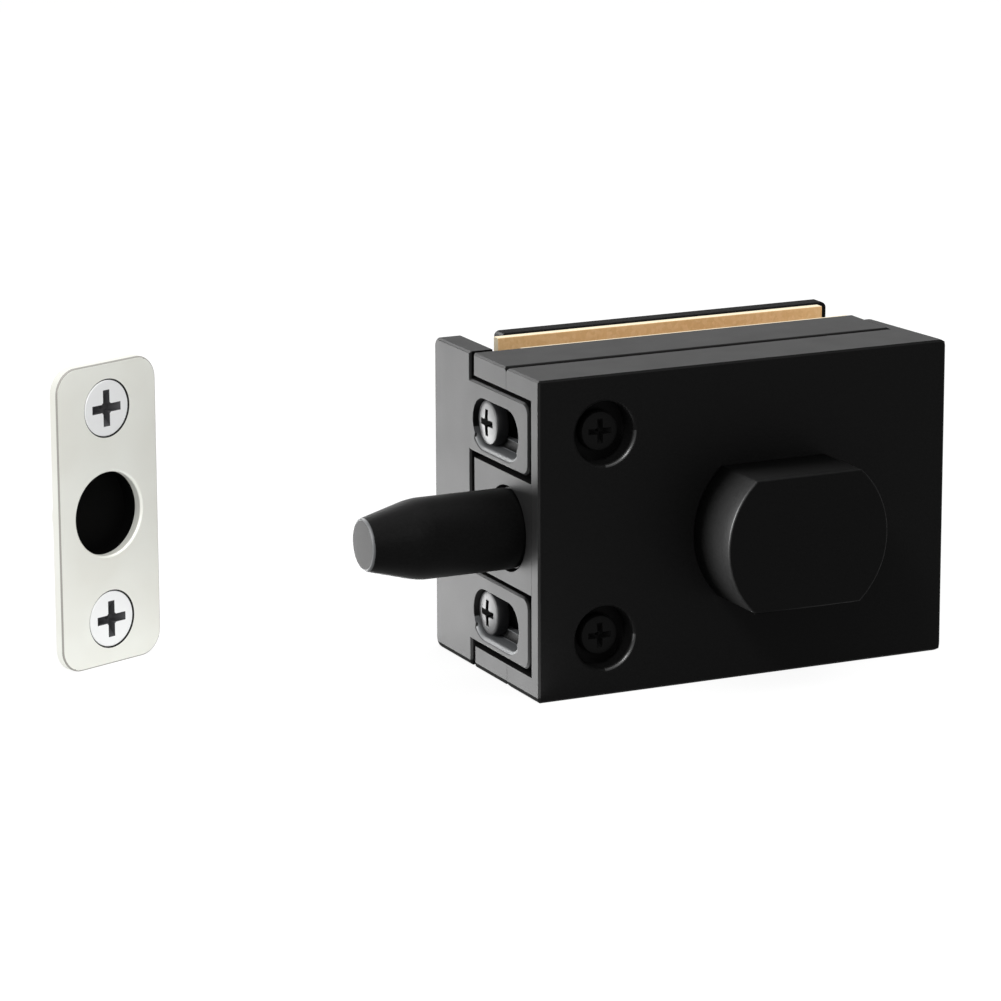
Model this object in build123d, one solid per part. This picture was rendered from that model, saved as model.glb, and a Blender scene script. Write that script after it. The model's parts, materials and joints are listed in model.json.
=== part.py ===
from build123d import *
import os
from math import cos, radians, sin, sqrt

# Patch lock for a frameless glass door, with its strike plate.
# The origin is on the bolt axis in the end face of the case, half-way up the case.
# The bolt points to -X, the knob faces -Y, the glass lies behind the case, +Z is up. Millimetres.

# Case
case_length = 90.0
case_height = 64.0
front_depth = 29.5
bolt_setback = 14.2
front_wall = 3.2
front_recess = 1.0
tray_wall = 4.4
tray_depth = 14.4
right_wall = 4.8
right_wall_depth = 24.4
right_wall_taper = 2.4
right_wall_straight = 2.0
seam_gap = 0.05
edge_chamfer = 0.4
seam_chamfer = 0.9

# Cavity of the lock body
cavity_left = 25.0
cavity_right_wall = 3.0
cavity_half_height = 25.6
cavity_floor = 4.0

# Glass channel and rear jaw
gasket_thickness = 2.1
glass_gap = 10.2
jaw_plate = 4.1
jaw_plate_left = 13.0
jaw_plate_right_gap = 2.7
jaw_plate_corner = 1.2
end_wall = 5.0
end_wall_corner = 2.0
end_wall_gap = 1.6
neck_width = 19.0
gasket_margin = 0.35
gasket_left = 11.2
gasket_right_margin = 2.2
gasket_neck_gap = 0.3

# Tongues of the jaw and their notches
tongue_height = 14.5
tongue_front_gap = 1.3
tongue_corner = 2.5
notch_groove = 1.0
notch_depth_gap = 0.2

# Screws of the case
screw_diameter = 4.0
screw_head_diameter = 8.0
screw_head_height = 2.5
screw_clearance = 0.2
thread_clearance = 0.03
end_screw_diameter = 5.0
end_screw_head_diameter = 9.2
end_screw_head_height = 2.8
end_screw_setback = 24.9
end_screw_drop = 0.5
end_screw_sink = 0.6
end_screw_length = 7.0
slot_travel = 11.0
slot_width = 9.8
slot_seat_gap = 0.1
clamp_screw_x = 14.3
clamp_screw_z = 20.4
clamp_screw_sink = 2.2
clamp_screw_length = 40.0
counterbore_diameter = 12.5
boss_diameter = 15.0
boss_floor = 1.8
boss_gap = 0.2
recess_width = 1.0
recess_length = 4.6
recess_depth = 1.4
recess_core = 2.0
cover_screw_diameter = 3.0
cover_screw_head = 5.6
cover_screw_length = 12.0
pillar_diameter = 7.0
pillar_inset = 4.5
pillar_z = 21.2

# Bolt
bolt_diameter = 16.0
bolt_reach = 30.7
bolt_shoulder = 20.0
bolt_tip_diameter = 10.3
bolt_tip_round = 0.6
bolt_relief = 0.3
bolt_relief_length = 1.0
bolt_sunk = 0.3
bolt_flat_gap = 0.3
bolt_flat_start = 13.0
bolt_hole_gap = 0.6
running_gap = 0.05
fit_gap = 0.02
bush_start = 5.5
bush_length = 19.0
bush_wall = 1.5

# Yoke on the tail of the bolt
yoke_wall = 2.75
yoke_foot = 4.6
yoke_seat = 6.0
yoke_front_gap = 1.0
yoke_top_gap = 1.0
yoke_screw_diameter = 3.0
yoke_screw_head = 5.5
yoke_screw_head_height = 2.6
yoke_screw_sink = 0.5
yoke_screw_spacing = 6.0

# Knob and spindle
knob_x = 51.1
knob_drop = 1.8
knob_diameter = 35.2
knob_flats = 26.6
knob_height = 14.7
knob_gap = 0.3
knob_round = 0.5
spindle_diameter = 10.0
spindle_flats = 7.5
spindle_in_knob = 11.0
spindle_tail = 1.3
spindle_bush_wall = 1.5
spindle_bush_flange = 17.0
spindle_bush_flange_thickness = 0.6
washer_thickness = 0.4
washer_diameter = 18.0
washer_bore_gap = 0.2
axial_gap = 0.05
grub_diameter = 4.0
grub_sink = 0.5
grub_flat = 0.5
grub_setback = 6.0
circlip_thickness = 0.8
circlip_groove = 0.8
circlip_width = 2.3
circlip_opening = 3.0

# Crank
knob_angle = 90.0
crank_thickness = 2.6
crank_hub_diameter = 25.0
crank_arm_end = 4.0
crank_pin_diameter = 5.0
crank_pin_reach = 13.5
crank_pin_shoulder = 0.8
crank_pin_shoulder_width = 0.8
yoke_slack = 0.1

# Detent
ball_diameter = 3.0
ball_gap = 0.05
dimple_depth = 0.5
detent_block_width = 10.0
detent_block_gap = 0.7
detent_bore_depth = 10.0
spring_wire = 0.35
spring_turns = 7

# Strike
strike_width = 26.0
strike_height = 61.6
strike_thickness = 2.0
strike_corner = 5.0
strike_edge = 0.4
strike_hole_gap = 0.5
strike_screw_spacing = 43.1
strike_screw_head = 11.5
strike_screw_diameter = 5.0
strike_screw_length = 10.5
strike_sink_rim = 0.2
collar_depth = 4.0
collar_wall = 0.5
cup_wall = 0.75
cup_floor = 0.8
cup_groove = 0.4
strike_x = -64.0
strike_setback = 63.7
strike_turn = 21.0

# Derived places; the knob's own pieces are made about their axis and lowered to it on export
bolt_radius = bolt_diameter / 2
front_y = -bolt_setback
seam_y = front_y + tray_depth
inner_y = front_y + front_wall
recess_y = inner_y - front_recess
tray_y = seam_y - seam_gap / 2
body_y = seam_y + seam_gap / 2
glass_y = front_y + front_depth
half_height = case_height / 2
tray_half = half_height - tray_wall
body_half = tray_half - seam_gap
body_right = case_length - right_wall - seam_gap
body_front_y = inner_y + seam_gap
floor_y = glass_y - cavity_floor
cavity_right = body_right - cavity_right_wall
pillar_x = cavity_right - pillar_inset
jaw_front_y = glass_y + end_wall_gap
plate_y = glass_y + glass_gap + 2 * gasket_thickness
jaw_back_y = plate_y + jaw_plate
plate_right = case_length - jaw_plate_right_gap
notch_outer = tray_half
notch_inner = notch_outer - tongue_height - 2 * notch_groove
tongue_z = (notch_outer + notch_inner) / 2
neck_half = tongue_z + tongue_height / 2
tongue_y = inner_y + tongue_front_gap
notch_x = end_wall + notch_depth_gap
end_screw_y = front_y + end_screw_setback
screw_radius = screw_diameter / 2
clamp_seat_y = front_y + clamp_screw_sink + screw_head_height
end_seat_x = end_screw_sink + end_screw_head_height
end_screw_radius = end_screw_diameter / 2
travel = bolt_reach + bolt_sunk
crank_radius = travel / (2 * sin(radians(knob_angle / 2)))
pin_low = crank_radius * cos(radians(knob_angle / 2))
pin_x = knob_x - travel / 2
pin_radius = crank_pin_diameter / 2
yoke_deviation = 0.03 * crank_radius
yoke_slot = crank_pin_diameter + 2 * (yoke_deviation + yoke_slack)
yoke_width = yoke_slot + 2 * yoke_wall
bolt_tail = pin_x + yoke_width / 2
spindle_radius = spindle_diameter / 2
washer_y = recess_y + spindle_bush_flange_thickness + axial_gap
crank_y = washer_y + washer_thickness + axial_gap
crank_back_y = crank_y + crank_thickness
circlip_y = crank_back_y + axial_gap
spindle_back_y = crank_back_y + spindle_tail
hub_radius = crank_hub_diameter / 2
ball_radius = ball_diameter / 2
ball_y = crank_y + crank_thickness / 2
ball_z = -(hub_radius + ball_gap + ball_radius)
detent_top = -(hub_radius + detent_block_gap)
detent_bottom = detent_top - detent_bore_depth
knob_level = Pos(0, 0, -knob_drop)
hole_radius = bolt_radius + strike_hole_gap


def block(x0, x1, y0, y1, z0, z1):
    """Box between two corners."""
    return Pos((x0 + x1) / 2, (y0 + y1) / 2, (z0 + z1) / 2) * Box(abs(x1 - x0), abs(y1 - y0), abs(z1 - z0))


def rod_x(x0, x1, radius, y=0.0, z=0.0):
    """Cylinder along X."""
    return Pos((x0 + x1) / 2, y, z) * Rot(0, 90, 0) * Cylinder(radius, x1 - x0)


def rod_y(y0, y1, radius, x=0.0, z=0.0):
    """Cylinder along Y."""
    return Pos(x, (y0 + y1) / 2, z) * Rot(90, 0, 0) * Cylinder(radius, y1 - y0)


def rod_z(z0, z1, radius, x=0.0, y=0.0):
    """Cylinder along Z."""
    return Pos(x, y, (z0 + z1) / 2) * Cylinder(radius, z1 - z0)


def turned_x(profile):
    """Solid turned about the X axis from (x, radius) points."""
    outline = Polyline(*[(x, r) for x, r in profile], close=True)
    return revolve(make_face(outline), axis=Axis.X, revolution_arc=360)


def slot_along_y(x0, x1, y0, y1, z, width):
    """Slot cut along X whose round ends are centred at y0 and y1."""
    cut = block(x0, x1, y0, y1, z - width / 2, z + width / 2)
    return cut + rod_x(x0, x1, width / 2, y0, z) + rod_x(x0, x1, width / 2, y1, z)


def pan_screw(diameter, head, head_height, length):
    """Cross-recessed pan-head screw along +Z, with its seat at z = 0 and its head below."""
    cap = Pos(0, 0, -head_height / 2) * Cylinder(head / 2, head_height)
    cap = fillet(cap.edges().sort_by(Axis.Z)[0], 0.42 * head_height)
    shank = rod_z(0, length, diameter / 2)
    shank = chamfer(shank.edges().sort_by(Axis.Z)[-1], 0.12 * diameter)
    return cap + shank - cross_recess(-head_height)


def cross_recess(z, scale=1.0):
    """Cross-shaped recess that starts at z and goes up."""
    depth = recess_depth * scale
    length = recess_length * scale
    width = recess_width * scale
    arm = Pos(0, 0, z + depth / 2) * Box(length, width, depth)
    core = Pos(0, 0, z + depth * 0.65) * Cylinder(recess_core * scale / 2, depth * 1.3)
    return arm + Rot(0, 0, 90) * arm + core


def export(name, solids):
    """Write one node as a STEP file."""
    items = solids if isinstance(solids, list) else [solids]
    shapes = [solid for item in items for solid in item.solids()]
    export_step(Compound(children=shapes) if len(shapes) > 1 else shapes[0], f"parts/{name}.step")


def seam_grooves():
    """Square bars on edge that cut the V groove of the seam in the top and the bottom."""
    side = seam_chamfer * sqrt(2)
    bar = Rot(45, 0, 0) * Box(case_length, side, side)
    return [Pos(body_right - case_length / 2, seam_y, sign * half_height) * bar for sign in (-1, 1)]


def right_side_wedge():
    """Wedge that the tapered right side of the cover leaves out."""
    start = front_y + right_wall_straight
    end = front_y + right_wall_depth
    plan = Polyline((case_length, start), (case_length + 1, start), (case_length + 1, end),
                    (case_length - right_wall_taper, end), close=True)
    return extrude(make_face(plan), case_height, both=True)


def make_front_cover():
    """Tray with the front wall, top and bottom walls and a longer right wall that narrows to the back."""
    shell = block(0, case_length, front_y, tray_y, -half_height, half_height)
    shell += block(body_right, case_length, front_y, front_y + right_wall_depth, -half_height, half_height)
    shell -= right_side_wedge()
    shell = chamfer(shell.faces().sort_by(Axis.Y)[0].edges(), edge_chamfer)
    top_edges = shell.edges().filter_by(Axis.Y).filter_by(lambda e: e.center().X < 1)
    shell = chamfer(top_edges, edge_chamfer)
    for groove in seam_grooves():
        shell -= groove
    shell -= block(-1, case_length - right_wall, inner_y, glass_y, -tray_half, tray_half)
    shell -= block(-1, case_length - right_wall, tray_y, glass_y, -case_height, case_height)
    shell -= block(cavity_left, cavity_right, recess_y, glass_y, -cavity_half_height, cavity_half_height)
    for sign in (-1, 1):
        z = sign * clamp_screw_z
        boss = rod_y(recess_y, clamp_seat_y + boss_floor, boss_diameter / 2, clamp_screw_x, z)
        shell += boss & block(0, case_length, front_y, glass_y, -half_height, half_height)
        shell -= rod_y(front_y - 1, clamp_seat_y, counterbore_diameter / 2, clamp_screw_x, z)
        shell -= rod_y(front_y, glass_y, screw_radius + screw_clearance, clamp_screw_x, z)
        pillar = rod_y(front_y + 1, floor_y - seam_gap, pillar_diameter / 2, pillar_x, sign * pillar_z)
        thread = rod_y(floor_y - cover_screw_length, floor_y, cover_screw_radius(), pillar_x, sign * pillar_z)
        shell = shell + pillar - thread
    return shell - rod_y(front_y - 1, inner_y, spindle_bush_radius() + fit_gap, knob_x, -knob_drop)


def cover_screw_radius():
    """Radius of the threaded hole for the screws that hold the cover."""
    return cover_screw_diameter / 2 + thread_clearance


def spindle_bush_radius():
    """Outer radius of the spindle bush."""
    return spindle_radius + running_gap + spindle_bush_wall


def end_screw_z(sign):
    """Height of the upper (1) or lower (-1) end screw, just under the middle of its tongue."""
    return sign * tongue_z - end_screw_drop


def make_lock_body():
    """Block behind the cover, with the cavity, the bolt bore and the notches of the tongues."""
    body = block(0, body_right, body_y, glass_y, -half_height, half_height)
    left = body.faces().sort_by(Axis.X)[0]
    body = chamfer(left.edges().filter_by(Axis.Y) + left.edges().sort_by(Axis.Y)[-1:], edge_chamfer)
    for groove in seam_grooves():
        body -= groove
    body += block(0, body_right, body_front_y, body_y, -body_half, body_half)
    body -= block(cavity_left, cavity_right, front_y, floor_y, -cavity_half_height, cavity_half_height)
    block_left = knob_x - detent_block_width / 2
    block_right = knob_x + detent_block_width / 2
    block_top = detent_top - knob_drop
    body += block(block_left, block_right, body_front_y, floor_y, -cavity_half_height, block_top)
    body += block(block_left, block_right, recess_y + seam_gap, body_front_y, seam_gap - cavity_half_height,
                  block_top)
    body -= knob_level * rod_z(detent_bottom, detent_top + 1, ball_radius + running_gap, knob_x, ball_y)
    body -= rod_x(-1, bush_start, bolt_radius + bolt_hole_gap)
    body -= rod_x(bush_start, cavity_left + 1, bolt_radius + running_gap + bush_wall + fit_gap)
    for sign in (-1, 1):
        z = sign * clamp_screw_z
        body -= block(-1, notch_x, front_y, glass_y + 1, sign * notch_inner, sign * notch_outer)
        body -= rod_y(front_y, clamp_seat_y + boss_floor + boss_gap, boss_diameter / 2 + boss_gap,
                      clamp_screw_x, z)
        body -= rod_y(front_y, glass_y + 1, screw_radius + screw_clearance, clamp_screw_x, z)
        body -= rod_x(0, end_seat_x + end_screw_length + screw_clearance, end_screw_radius + thread_clearance,
                      end_screw_y, end_screw_z(sign))
        body -= rod_y(front_y, glass_y + 1, cover_screw_diameter / 2 + screw_clearance,
                      pillar_x, sign * pillar_z)
        body -= Pos(pillar_x, glass_y, sign * pillar_z) * Rot(90, 0, 0) * sink(cover_screw_head,
                                                                                 cover_screw_diameter)
    return body


def sink(head, diameter, rim=0.1):
    """Countersink cone along +Z whose wide face is at z = 0."""
    depth = (head - diameter) / 2
    return Pos(0, 0, depth / 2) * Cone(head / 2 + rim, diameter / 2 + rim, depth)


def flat_screw(diameter, head, length, recess_scale):
    """Countersunk cross-recessed screw along +Z with its face at z = 0."""
    depth = (head - diameter) / 2
    cone = Pos(0, 0, depth / 2) * Cone(head / 2, diameter / 2, depth)
    shank = rod_z(depth, length, diameter / 2)
    shank = chamfer(shank.edges().sort_by(Axis.Z)[-1], 0.2 * diameter)
    return cone + shank - cross_recess(0, recess_scale)


def make_rear_jaw():
    """End wall with two tongues, neck behind it and the plate behind the glass."""
    wall = block(0, end_wall, jaw_front_y, jaw_back_y, -half_height, half_height)
    wall = fillet(wall.edges().filter_by(Axis.X).sort_by(Axis.Y)[-2:], end_wall_corner)
    tongue_half = tongue_height / 2
    for sign in (-1, 1):
        z = sign * tongue_z
        tongue = block(0, end_wall, tongue_y, jaw_front_y, z - tongue_half, z + tongue_half)
        wall += fillet(tongue.edges().filter_by(Axis.X).sort_by(Axis.Y)[:2], tongue_corner)
    wall = chamfer(wall.faces().sort_by(Axis.X)[0].edges(), edge_chamfer)
    first = end_screw_y - slot_travel
    for sign in (-1, 1):
        z = end_screw_z(sign)
        wall -= slot_along_y(-1, end_seat_x + slot_seat_gap, first, end_screw_y, z, slot_width)
        wall -= slot_along_y(0, end_wall + 1, first, end_screw_y, z, end_screw_diameter + 2 * screw_clearance)
    neck = block(end_wall / 2, neck_width, jaw_front_y, jaw_back_y, -neck_half, neck_half)
    plate = block(jaw_plate_left, plate_right, plate_y, jaw_back_y, -half_height, half_height)
    plate = fillet(plate.edges().filter_by(Axis.Y), jaw_plate_corner)
    plate = chamfer(plate.faces().sort_by(Axis.Y)[-1].edges(), edge_chamfer)
    jaw = wall + neck + plate
    tip_y = clamp_seat_y + clamp_screw_length + end_wall_gap
    for sign in (-1, 1):
        jaw -= rod_y(jaw_front_y - 1, tip_y, screw_radius + thread_clearance, clamp_screw_x,
                     sign * clamp_screw_z)
    return jaw


def gasket(front):
    """Fibre sheet whose front face is at y = front, cut out round the neck of the jaw."""
    edge = half_height - gasket_margin
    back = front + gasket_thickness
    notch = neck_half + gasket_neck_gap
    sheet = block(gasket_left, plate_right - gasket_right_margin, front, back, -edge, edge)
    return sheet - block(0, neck_width + gasket_neck_gap, front - 1, back + 1, -notch, notch)


def make_front_gasket():
    """Fibre sheet on the glass side of the lock body."""
    return gasket(glass_y)


def make_rear_gasket():
    """Fibre sheet on the jaw plate."""
    return gasket(plate_y - gasket_thickness)


def make_clamp_screws():
    """Two screws from the front into the neck of the jaw."""
    screw = Rot(-90, 0, 0) * pan_screw(screw_diameter, screw_head_diameter, screw_head_height,
                                       clamp_screw_length)
    return [Pos(clamp_screw_x, clamp_seat_y, sign * clamp_screw_z) * screw for sign in (-1, 1)]


def make_end_screws():
    """Two screws in the slots of the tongues."""
    screw = Rot(0, 90, 0) * pan_screw(end_screw_diameter, end_screw_head_diameter, end_screw_head_height,
                                      end_screw_length)
    return [Pos(end_seat_x, end_screw_y, end_screw_z(sign)) * screw for sign in (-1, 1)]


def make_cover_screws():
    """Two countersunk screws from the glass side into the pillars of the cover."""
    screw = Rot(90, 0, 0) * flat_screw(cover_screw_diameter, cover_screw_head, cover_screw_length, 0.6)
    return [Pos(pillar_x, glass_y, sign * pillar_z) * screw for sign in (-1, 1)]


def make_bolt():
    """Round bolt with a tapered tip, a relief, a front flat past the spindle and a seat for the yoke."""
    tip = bolt_tip_diameter / 2
    bolt = turned_x([(-bolt_reach, 0), (-bolt_reach, tip), (-bolt_shoulder, bolt_radius), (0, bolt_radius),
                     (0, bolt_radius - bolt_relief), (bolt_relief_length, bolt_radius - bolt_relief),
                     (bolt_relief_length, bolt_radius), (bolt_tail, bolt_radius), (bolt_tail, 0)])
    bolt = fillet(bolt.faces().sort_by(Axis.X)[0].edges(), bolt_tip_round)
    bolt = chamfer(bolt.faces().sort_by(Axis.X)[-1].edges(), edge_chamfer)
    bolt -= block(bolt_flat_start, bolt_tail + 1, -bolt_diameter, spindle_back_y + bolt_flat_gap,
                  -bolt_diameter, bolt_diameter)
    bolt -= block(pin_x - yoke_width / 2, bolt_tail + 1, -bolt_diameter, bolt_diameter, yoke_seat,
                  bolt_diameter)
    for x in yoke_screw_places():
        bolt -= rod_z(-bolt_diameter, bolt_radius, yoke_screw_diameter / 2 + screw_clearance / 2, x)
        bolt -= rod_z(-bolt_diameter, yoke_screw_seat(), yoke_screw_head / 2 + screw_clearance, x)
    return bolt


def yoke_screw_places():
    """X of the two screws under the yoke."""
    return [pin_x - yoke_screw_spacing / 2, pin_x + yoke_screw_spacing / 2]


def yoke_screw_seat():
    """Height of the seat of the screw heads in the bolt."""
    return -bolt_radius + yoke_screw_sink + yoke_screw_head_height


def make_bolt_yoke():
    """Fork on the tail of the bolt, open at the top."""
    left = pin_x - yoke_width / 2
    front = spindle_back_y + yoke_front_gap
    yoke = block(left, left + yoke_width, front, bolt_radius, yoke_seat, cavity_half_height - yoke_top_gap)
    yoke -= block(pin_x - yoke_slot / 2, pin_x + yoke_slot / 2, front - 1, bolt_radius + 1,
                  yoke_seat + yoke_foot, case_height)
    for x in yoke_screw_places():
        yoke -= rod_z(0, yoke_seat + yoke_foot - 1, yoke_screw_diameter / 2 + thread_clearance, x)
    return yoke


def make_yoke_screws():
    """Two pan-head screws from under the bolt into the yoke."""
    length = yoke_seat + yoke_foot - 1 - screw_clearance - yoke_screw_seat()
    cap = Pos(0, 0, -yoke_screw_head_height / 2) * Cylinder(yoke_screw_head / 2, yoke_screw_head_height)
    screw = cap + rod_z(0, length, yoke_screw_diameter / 2) - cross_recess(-yoke_screw_head_height, 0.7)
    return [Pos(x, 0, yoke_screw_seat()) * screw for x in yoke_screw_places()]


def make_bolt_bush():
    """Plain bearing of the bolt."""
    inner = bolt_radius + running_gap
    return rod_x(bush_start, bush_start + bush_length, inner + bush_wall) - rod_x(0, cavity_left, inner)


def make_knob():
    """Round knob with two flats and a blind bore."""
    back = front_y - knob_gap
    knob = rod_y(back - knob_height, back, knob_diameter / 2, knob_x)
    knob &= block(knob_x - knob_diameter, knob_x + knob_diameter, back - knob_height, back,
                  -knob_flats / 2, knob_flats / 2)
    knob = fillet(knob.faces().sort_by(Axis.Y)[0].edges(), knob_round)
    knob -= rod_y(back - spindle_in_knob, back + 1, spindle_radius + fit_gap, knob_x)
    return knob - rod_z(-knob_flats, 0, grub_diameter / 2 + thread_clearance, knob_x, grub_y())


def grub_y():
    """Place of the grub screw along the spindle."""
    return front_y - grub_setback


def make_knob_grub_screw():
    """Set screw from the lower flat of the knob onto the spindle."""
    low = -knob_flats / 2 + grub_sink
    high = -spindle_radius + grub_flat - fit_gap
    screw = rod_z(low, high, grub_diameter / 2, knob_x, grub_y())
    screw = chamfer(screw.edges().sort_by(Axis.Z)[-1], 0.1 * grub_diameter)
    socket = extrude(RegularPolygon(grub_diameter / 4, 6), grub_diameter / 2)
    return screw - Pos(knob_x, grub_y(), low) * socket


def spindle_end(y0, y1, extra=0.0):
    """Round stretch with two flats, which drives the crank arm."""
    half = spindle_flats / 2 + extra
    return rod_y(y0, y1, spindle_radius + extra, knob_x) & block(
        knob_x - spindle_diameter, knob_x + spindle_diameter, y0, y1, -half, half)


def make_spindle():
    """Shaft from the knob through the front wall to the crank arm."""
    start = front_y - knob_gap - spindle_in_knob + fit_gap
    shaft = rod_y(start, crank_y - axial_gap, spindle_radius, knob_x)
    shaft = chamfer(shaft.edges().sort_by(Axis.Y)[0], edge_chamfer)
    shaft += spindle_end(crank_y - axial_gap, spindle_back_y)
    low = -spindle_radius + grub_flat
    flat_half = grub_diameter / 2 + screw_clearance
    shaft -= block(knob_x - grub_diameter, knob_x + grub_diameter, grub_y() - flat_half,
                   grub_y() + flat_half, -spindle_diameter, low)
    ring = rod_y(circlip_y, circlip_y + circlip_thickness, spindle_diameter, knob_x)
    return shaft - (ring - rod_y(circlip_y, circlip_y + circlip_thickness,
                                 spindle_radius - circlip_groove, knob_x))


def make_spindle_circlip():
    """Open ring that holds the crank arm on the spindle."""
    inner = spindle_radius - circlip_groove + fit_gap
    thick = circlip_thickness - 2 * fit_gap
    ring = rod_y(circlip_y + fit_gap, circlip_y + fit_gap + thick, inner + circlip_width, knob_x)
    ring -= rod_y(circlip_y - 1, circlip_y + 2, inner, knob_x)
    return ring - block(knob_x - circlip_opening / 2, knob_x + circlip_opening / 2, circlip_y - 1,
                        circlip_y + 2, -spindle_diameter, 0)


def make_spindle_bush():
    """Flanged bearing in the front wall."""
    flange_y = recess_y + spindle_bush_flange_thickness
    bush = rod_y(front_y + fit_gap, flange_y, spindle_bush_radius(), knob_x)
    bush += rod_y(recess_y, flange_y, spindle_bush_flange / 2, knob_x)
    return bush - rod_y(front_y - 1, flange_y + 1, spindle_radius + running_gap, knob_x)


def make_spindle_washer():
    """Slide washer between the bush and the crank arm."""
    disc = rod_y(washer_y, washer_y + washer_thickness, washer_diameter / 2, knob_x)
    return disc - rod_y(washer_y - 1, crank_y + 1, spindle_radius + washer_bore_gap, knob_x)


def crank_pin_place():
    """Place of the crank pin with the bolt thrown."""
    return pin_x, pin_low


def make_crank_arm():
    """Hub with an arm up to the crank pin and two dimples for the detent ball."""
    x, z = crank_pin_place()
    hub = rod_y(crank_y, crank_back_y, hub_radius, knob_x)
    bar = Pos(knob_x, crank_y + crank_thickness / 2, 0) * Rot(0, -knob_angle / 2, 0) * (
        Pos(0, 0, crank_radius / 2) * Box(2 * crank_arm_end, crank_thickness, crank_radius))
    arm = hub + bar + rod_y(crank_y, crank_back_y, crank_arm_end, x, z)
    arm -= rod_y(crank_y - 1, crank_back_y + 1, pin_radius + fit_gap, x, z)
    arm -= spindle_end(crank_y - 1, crank_back_y + 1, fit_gap)
    seat = hub_radius + ball_gap + ball_radius - dimple_depth
    for turn in (0, knob_angle):
        angle = radians(turn)
        centre = Pos(knob_x + seat * sin(angle), ball_y, -seat * cos(angle))
        arm -= centre * Sphere(ball_radius + ball_gap)
    return arm


def make_crank_pin():
    """Shouldered pin that runs in the fork of the yoke."""
    x, z = crank_pin_place()
    pin = rod_y(crank_y, crank_back_y + crank_pin_reach, pin_radius, x, z)
    pin = chamfer(pin.edges().sort_by(Axis.Y)[-1], edge_chamfer)
    return pin + rod_y(crank_back_y, crank_back_y + crank_pin_shoulder,
                       pin_radius + crank_pin_shoulder_width, x, z)


def make_detent_ball():
    """Ball under the crank hub."""
    return Pos(knob_x, ball_y, ball_z) * Sphere(ball_radius)


def make_detent_spring():
    """Coil spring under the ball."""
    radius = ball_radius - spring_wire / 2 - running_gap
    low = detent_bottom + spring_wire / 2 + fit_gap
    high = ball_z - ball_radius - spring_wire / 2 - running_gap
    height = high - low
    path = Helix(height / spring_turns, height, radius)
    start = Plane(origin=path @ 0, z_dir=path % 0)
    coil = sweep(start * Circle(spring_wire / 2), path=path)
    return Pos(knob_x, ball_y, low) * coil


def strike_place():
    """Place of the strike: its front face stands turned towards the knob side."""
    bottom = -half_height
    return Location((strike_x, front_y + strike_setback, bottom + strike_height / 2), (0, 0, strike_turn))


def make_strike_plate():
    """Plate with a central hole and two countersunk holes, its front face at y = 0."""
    side = strike_width / 2
    end = strike_height / 2
    plate = block(-side, side, 0, strike_thickness, -end, end)
    plate = fillet(plate.edges().filter_by(Axis.Y), strike_corner)
    plate = fillet(plate.faces().sort_by(Axis.Y)[0].edges(), strike_edge)
    plate -= rod_y(-1, strike_thickness + 1, hole_radius)
    plate = chamfer(plate.edges().filter_by(GeomType.CIRCLE).filter_by(
        lambda e: abs(e.radius - hole_radius) < fit_gap and e.center().Y < fit_gap), strike_edge)
    for sign in (-1, 1):
        hole = Rot(-90, 0, 0) * sink(strike_screw_head, strike_screw_diameter, strike_sink_rim)
        plate -= Pos(0, 0, sign * strike_screw_spacing / 2) * hole
    return strike_place() * plate


def make_strike_collar():
    """Steel ring behind the plate round the dust cup."""
    inner = hole_radius + cup_wall + fit_gap
    depth = strike_thickness + collar_depth
    ring = rod_y(strike_thickness, depth, inner + collar_wall) - rod_y(0, depth + 1, inner)
    return strike_place() * ring


def make_strike_dust_cup():
    """Plastic cup behind the hole, with a thin groove round its knock-out floor."""
    depth = strike_thickness + collar_depth
    cup = rod_y(strike_thickness, depth, hole_radius + cup_wall)
    cup -= rod_y(0, depth - cup_floor, hole_radius)
    ring = rod_y(depth - cup_groove, depth + 1, hole_radius - cup_wall)
    ring -= rod_y(0, depth + 2, hole_radius - 2 * cup_wall)
    return strike_place() * (cup - ring)


def make_strike_screws():
    """Two large countersunk screws in the strike plate."""
    screw = Rot(-90, 0, 0) * flat_screw(strike_screw_diameter, strike_screw_head, strike_screw_length, 1.45)
    return [strike_place() * Pos(0, 0, sign * strike_screw_spacing / 2) * screw for sign in (-1, 1)]


os.makedirs("parts", exist_ok=True)
export("front_cover", make_front_cover())
export("lock_body", make_lock_body())
export("rear_jaw", make_rear_jaw())
export("front_gasket", make_front_gasket())
export("rear_gasket", make_rear_gasket())
export("clamp_screws", make_clamp_screws())
export("end_screws", make_end_screws())
export("cover_screws", make_cover_screws())
export("bolt", make_bolt())
export("bolt_yoke", make_bolt_yoke())
export("yoke_screws", make_yoke_screws())
export("bolt_bush", make_bolt_bush())
export("knob", knob_level * make_knob())
export("knob_grub_screw", knob_level * make_knob_grub_screw())
export("spindle", knob_level * make_spindle())
export("spindle_circlip", knob_level * make_spindle_circlip())
export("spindle_bush", knob_level * make_spindle_bush())
export("spindle_washer", knob_level * make_spindle_washer())
export("crank_arm", knob_level * make_crank_arm())
export("crank_pin", knob_level * make_crank_pin())
export("detent_ball", knob_level * make_detent_ball())
export("detent_spring", knob_level * make_detent_spring())
export("strike_plate", make_strike_plate())
export("strike_collar", make_strike_collar())
export("strike_dust_cup", make_strike_dust_cup())
export("strike_screws", make_strike_screws())
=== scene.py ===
import json
from math import cos, pi, radians, sin

import bmesh
import bpy
from mathutils import Matrix, Vector


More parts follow.
